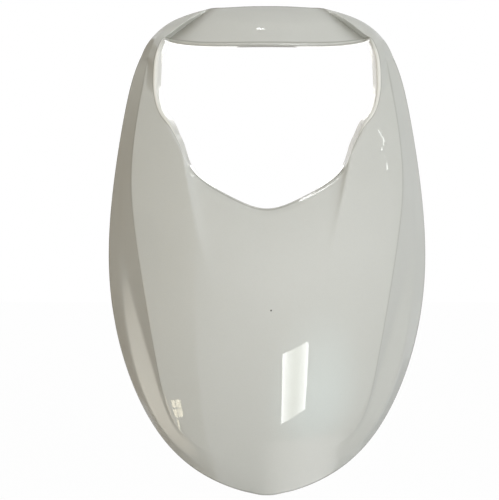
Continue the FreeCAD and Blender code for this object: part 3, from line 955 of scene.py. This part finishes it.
# %% Lamp and large cards
KEY_PLACE, KEY_SIZE, KEY_POWER, KEY_COLOR = (0.65, -2.4, 0.2), (2.2, 1.8), 38.5, (1.0, 1.0, 0.99)
ROOM_LEFT, ROOM_RIGHT, ROOM_HEIGHTS = -0.8, 0.9, (-1.8, 1.0)
LEFT_COLOR, CEILING_COLOR = (0.60, 0.53, 0.43), (0.55, 0.56, 0.56)
RIGHT_COLOR, LIP_COLOR, BACK_COLOR = (0.98, 1.0, 0.99), (1.0, 1.0, 0.97), (1.0, 0.97, 0.92)
LIP_CARD_NEAR, LIP_CARD_FAR = 0.035, 0.2


def soft_light(name, place, size, power, color):
    """A soft lamp that looks at the origin."""
    lamp = bpy.data.lights.new(name, "AREA")
    lamp.shape = "RECTANGLE"
    lamp.size, lamp.size_y = size
    lamp.energy = power
    lamp.color = color
    holder = bpy.data.objects.new(name, lamp)
    holder.location = place
    holder.rotation_euler = (-Vector(place)).to_track_quat("-Z", "Y").to_euler()
    bpy.context.scene.collection.objects.link(holder)
    return holder


soft_light("key", KEY_PLACE, KEY_SIZE, KEY_POWER, KEY_COLOR).visible_glossy = False
card("left_shade", [flat(X_AXIS, ROOM_LEFT, (-1.3, 1.2), ROOM_HEIGHTS)], LEFT_COLOR)
ceiling = card("ceiling_shade", [flat(Z_AXIS, 0.9, (-1.5, 1.5), (-1.6, 1.2))], CEILING_COLOR)
ceiling.visible_glossy = False
lip_cards = [flat(Y_AXIS, 0.16, (sign * LIP_CARD_NEAR, sign * LIP_CARD_FAR), (0.1, 0.26)) for sign in (-1, 1)]
card("bright_back", lip_cards, LIP_COLOR, 2.2).visible_diffuse = True
card("right_dim", [flat(X_AXIS, ROOM_RIGHT, (-0.6, 1.0), ROOM_HEIGHTS)], RIGHT_COLOR, 0.8)
card("right_dark", [flat(X_AXIS, ROOM_RIGHT, (1.0, 4.0), ROOM_HEIGHTS)], RIGHT_COLOR, 0.5)
card("back_dim", [flat(Y_AXIS, 2.5, (-3.0, 3.0), (-3.0, -0.35))], BACK_COLOR, 0.45)
print("lamp and large cards set")

# %% [markdown]
# ### What the clear coat mirrors
#
# Each small bright mark in the paint is the picture of something in the room: a tall window, a warm
# window with panes far on the left, a thin streak on the right and a small lamp overhead. It could be
# painted on, but then it would stay on the part when the part moves. So each mark is a card that only
# mirror rays see. The corners of the mark are given in the picture, the view rays through them meet the
# panel and are mirrored, and the card stands where they cross a plane of the room.

# %% From marks in the picture to places in the room
WINDOW_MARK = [(282.5, 354), (308.5, 341), (305, 409), (281, 424)]
PANE_MARKS = [[(171.2, 400), (174.6, 399.5), (176.2, 407.5), (173, 408)],
              [(175.4, 399.4), (180.2, 398.5), (182, 407), (177, 407.5)],
              [(173.2, 409), (176.4, 408.5), (178.4, 417.5), (175.2, 416.5)],
              [(177.2, 408.5), (182.2, 408), (183.6, 416), (179.2, 417)],
              [(177, 419.5), (179.2, 419.5), (180, 427), (178.8, 427)],
              [(178.8, 427), (180, 427), (180.8, 439), (180, 439)]]
STREAK_MARKS = [[(377.5, 130.5), (379, 130.5), (384, 139.5), (382.5, 139.5)],
                [(382.5, 139.5), (384, 139.5), (384.2, 146), (382.8, 146)],
                [(381, 147), (382.5, 147), (382.3, 151), (381, 151)],
                [(385.5, 163), (387, 163), (387.8, 170), (386.2, 170)]]
BROW_MARK = [(256.5, 28.3), (264.5, 28.3), (264.5, 29.8), (256.5, 30.4)]
skin_tree = BVHTree.FromPolygons([v.co for v in surround_mesh.vertices],
                                 [p.vertices for p in surround_mesh.polygons])


def mirrored(mark, axis, level):
    """Where the view rays through a mark of the picture cross a plane, once the panel has mirrored them."""
    reach = camera_data.lens / camera_data.sensor_width * PICTURE_WIDTH
    crossings = []
    for across, down in mark:
        right = across - PICTURE_WIDTH * (0.5 - camera_data.shift_x)
        view = Vector((right / reach, 1.0, (PICTURE_HEIGHT / 2 - down) / reach)).normalized()
        hit, _, index, _ = skin_tree.ray_cast(camera.location, view)
        around = [surround_mesh.vertices[k] for k in surround_mesh.polygons[index].vertices]
        weights = poly_3d_calc([v.co for v in around], hit)
        normal = sum((v.normal * weight for v, weight in zip(around, weights)), Vector())
        away = view.reflect(normal.normalized())
        crossings.append(hit + away * ((level - hit[axis]) / away[axis]))
    return crossings


window_corners = mirrored(WINDOW_MARK, Y_AXIS, -2.0)
print("window corners", [[round(c, 2) for c in corner] for corner in window_corners])

# %% [markdown]
# ### Window, lamps and glows
#
# The window is brighter at its sides than in its middle. Round it lies a soft bluish glow, under the panel
# a second one, and on the left a warm one that lights the ledge. A glow with a hard edge would show as a
# line in the clear coat, so each fades out by a rule of its own place.

# %% Mirrored cards
DIM, BLUISH = (0.3, 0.3, 0.3), (0.78, 0.96, 1.0)
PANE_DIM, PANE_BRIGHT = (0.48, 0.5, 0.46), (0.98, 1.0, 1.0)
LEDGE_DIM, LEDGE_BRIGHT, WARM = (0.13, 0.115, 0.095), (1.0, 0.87, 0.7), (1.0, 0.9, 0.66)
LIP_LAMP = [(0.006, -0.064, 0.2), (0.006, -0.077, 0.2), (0.046, -0.089, 0.2), (0.046, -0.071, 0.2)]


def glow_between(made, share, low, high):
    """Lets a glowing card vary between two colours, by a rule of its own place."""
    tree = made.data.materials[0].node_tree
    place = Field(tree).node("ShaderNodeTexCoord", "Object").parts()
    glow = share(*place).between(low, high)
    glow.join(glow, tree.nodes["Principled BSDF"].inputs["Emission Color"])


def oval(first, second, middle, reach):
    """1 in the middle of an oval, and 0 outside it."""
    parts = [((value - m) / r) ** 2.0 for value, m, r in zip((first, second), middle, reach)]
    return (1.0 - parts[0] - parts[1]).held()


window_left, window_right = min(c.x for c in window_corners), max(c.x for c in window_corners)
window_middle, window_reach = (window_left + window_right) / 2, 0.45 * (window_right - window_left)
glow_between(card("window", [window_corners], WHITE, 13.0),
             lambda x, y, z: (((x - window_middle) / window_reach) ** 2.0).held(), PANE_DIM, PANE_BRIGHT)
glow_between(card("soft_patch", [flat(Y_AXIS, -2.05, (-0.4, 2.4), (-3.0, 0.2))], WHITE, 3.0),
             lambda x, y, z: oval(x, z, (0.92, -1.35), (1.0, 1.4)) ** 1.5, DIM, BLUISH)
glow_between(card("low_patch", [flat(Z_AXIS, -1.4, (-0.4, 1.6), (-1.3, 0.3))], WHITE, 2.5),
             lambda x, y, z: (1.0 - ((x - 0.5) / 0.6) ** 2.0).held(), DIM, WHITE)
glow_between(card("ledge_glow", [flat(X_AXIS, -0.79, (-0.7, 0.3), (-1.35, 0.25))], WHITE, 2.0),
             lambda x, y, z: oval(y, z, (-0.2, -0.55), (0.45, 0.75)), LEDGE_DIM, LEDGE_BRIGHT)
card("warm_panes", [mirrored(mark, X_AXIS, -0.78) for mark in PANE_MARKS], WARM, 8.5)
card("streak", [mirrored(mark, X_AXIS, 1.5) for mark in STREAK_MARKS], WHITE, 9.0)
card("ceiling_lamp", [mirrored(BROW_MARK, Z_AXIS, 1.8)], WHITE, 14.0)
card("lip_lamp", [LIP_LAMP], WHITE, 14.0)
print("mirrored cards set")
